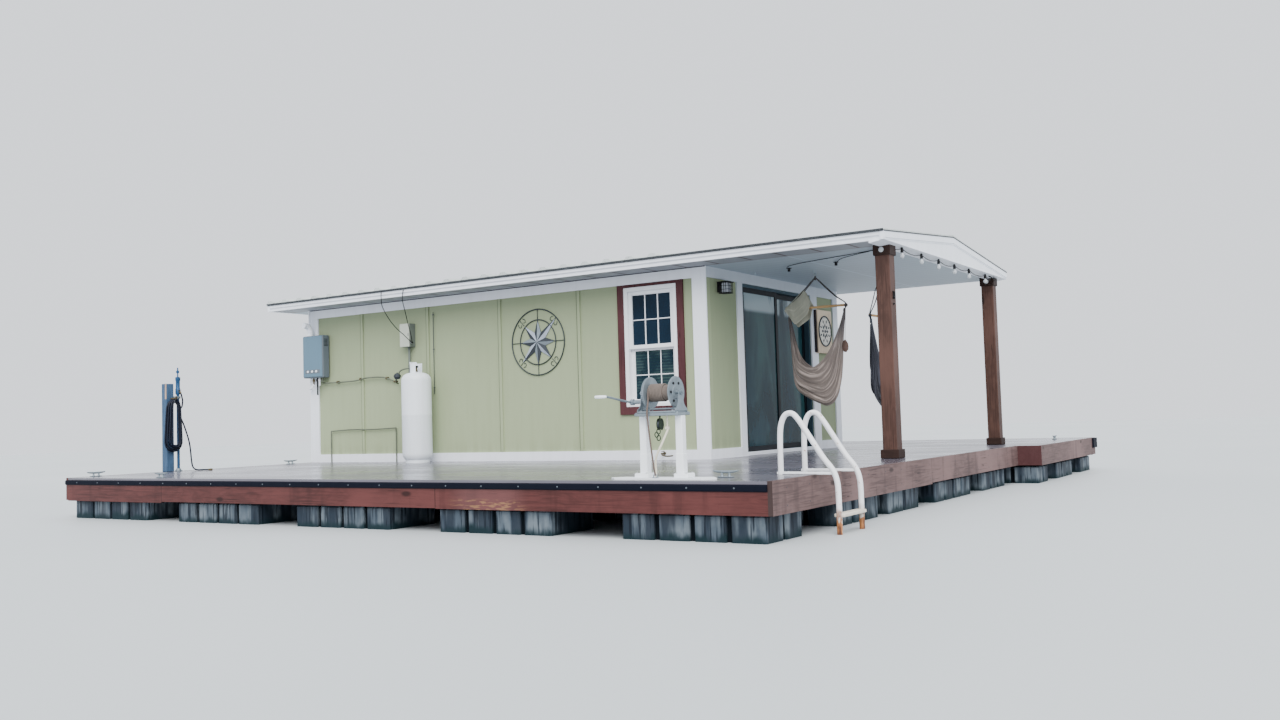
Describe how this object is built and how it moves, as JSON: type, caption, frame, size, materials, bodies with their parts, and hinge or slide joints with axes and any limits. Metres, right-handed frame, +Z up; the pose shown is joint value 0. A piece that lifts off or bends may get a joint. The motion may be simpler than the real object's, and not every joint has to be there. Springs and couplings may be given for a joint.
{
  "type": "houseboat",
  "caption": "Floating cabin on a float dock: hollow cabin with sliding door and windows, low roof over a porch with hanging chairs, hand winch and swim ladder.",
  "frame": {"origin": "middle of the base: the height of the floats' undersides, under the middle of the outline", "axes": "+Z up, +X along the front edge towards the porch end, +Y across the deck from the front edge with the winch to the rear edge"},
  "size_m": [9.6512, 10.0796, 3.3585],
  "materials": {
    "decking_board": "sun-greyed boards with grooves",
    "frame_timber": "bare sawn timber, damp",
    "red_stained_board": "red-brown stain, worn",
    "weathered_board": "faded red stain with upright streaks",
    "black_rubber": "dull moulded rubber",
    "float_plastic": "chalky moulded shell",
    "green_siding": "painted sage green, satin",
    "white_trim": "painted white, satin",
    "brown_casing": "painted red-brown",
    "white_frame": "white frame",
    "clear_glass": "clear, reflecting sky",
    "dark_door_metal": "dark, satin",
    "roof_metal": "pale ribbed sheet",
    "post_timber": "red-brown stain with checks",
    "black_metal": "black, satin",
    "heater_enamel": "blue-grey enamel",
    "tank_paint": "white, lightly scuffed",
    "pipe_metal": "dull, grey-green",
    "grey_box_metal": "grey enamel",
    "wrought_iron": "dark grey iron with worn edges",
    "pale_board": "pale board with a carved disc",
    "galvanised_steel": "galvanised, dull",
    "white_steel": "white, rust at edges",
    "old_paint": "old blue-grey paint",
    "hose_rubber": "dark garden hose",
    "chair_wood": "varnished wood, dark cords",
    "chair_cloth": "taupe woven cotton"
  },
  "bodies": {
    "hull": {"decking": "decking_board", "deck_frame": "frame_timber", "fascia_front": "red_stained_board", "fascia_left_rear": "red_stained_board", "fascia_right": "weathered_board", "front_bumper": "black_rubber", "corner_bumper": "black_rubber", "float_column_1": "float_plastic", "float_column_2": "float_plastic", "float_column_3": "float_plastic", "float_column_4": "float_plastic", "float_column_5": "float_plastic", "wall_front": "green_siding", "wall_rear": "green_siding", "wall_left": "green_siding", "wall_porch": "green_siding", "trim_front": "white_trim", "trim_rear": "white_trim", "trim_left": "white_trim", "trim_porch": "white_trim", "ceiling": "white_trim", "eave_near": "white_trim", "eave_far": "white_trim", "gable_porch": "white_trim", "gable_left": "white_trim", "window_front_casing": "brown_casing", "window_rear_casing": "brown_casing", "window_front_frame": "white_frame", "window_rear_frame": "white_frame", "window_front_glass": "clear_glass", "window_rear_glass": "clear_glass", "door_fixed_glass": "clear_glass", "door_frame": "dark_door_metal", "door_fixed_leaf": "dark_door_metal", "roof_near": "roof_metal", "roof_far": "roof_metal", "ridge_cap": "roof_metal", "post_near": "post_timber", "post_far": "post_timber", "porch_lantern": "black_metal", "string_lights": "black_metal", "water_heater": "heater_enamel", "gas_tank": "tank_paint", "gas_pipe": "pipe_metal", "electric_box": "grey_box_metal", "compass_rose": "wrought_iron", "wall_board": "pale_board", "winch_frame": "galvanised_steel", "winch_stand": "white_steel", "swim_ladder": "white_steel", "utility_post": "old_paint", "hose_hank": "hose_rubber"},
    "sliding_door": {"door_sliding_leaf": "dark_door_metal", "door_sliding_glass": "clear_glass"},
    "drum": {"winch_drum": "galvanised_steel"},
    "crank": {"winch_crank": "galvanised_steel"},
    "chair_1": {"chair_1_bar": "chair_wood", "chair_1_sling": "chair_cloth"},
    "chair_2": {"chair_2_bar": "chair_wood", "chair_2_sling": "chair_cloth"}
  },
  "joints": [
    {"name": "door_slide", "type": "slide", "parent": "hull", "child": "sliding_door", "axis": [0, -1, 0], "range_m": [0, 0.86]},
    {"name": "drum_turn", "type": "hinge", "parent": "hull", "child": "drum", "pos_m": [3.5318, -4.7395, 1.543], "axis": [1, 0, 0], "continuous": true},
    {"name": "crank_turn", "type": "hinge", "parent": "hull", "child": "crank", "pos_m": [3.3044, -4.7395, 1.478], "axis": [1, 0, 0], "continuous": true},
    {"name": "chair_1_swing", "type": "hinge", "parent": "hull", "child": "chair_1", "pos_m": [2.8044, -0.0945, 2.975], "axis": [1, 0, 0], "range_deg": [-12, 12]},
    {"name": "chair_2_swing", "type": "hinge", "parent": "hull", "child": "chair_2", "pos_m": [3.2994, 0.7055, 2.975], "axis": [0.0349, 0.9994, 0], "range_deg": [-12, 12]}
  ],
  "couplings": [
    {"joint": "crank_turn", "follows": "drum_turn", "ratio": -4}
  ]
}
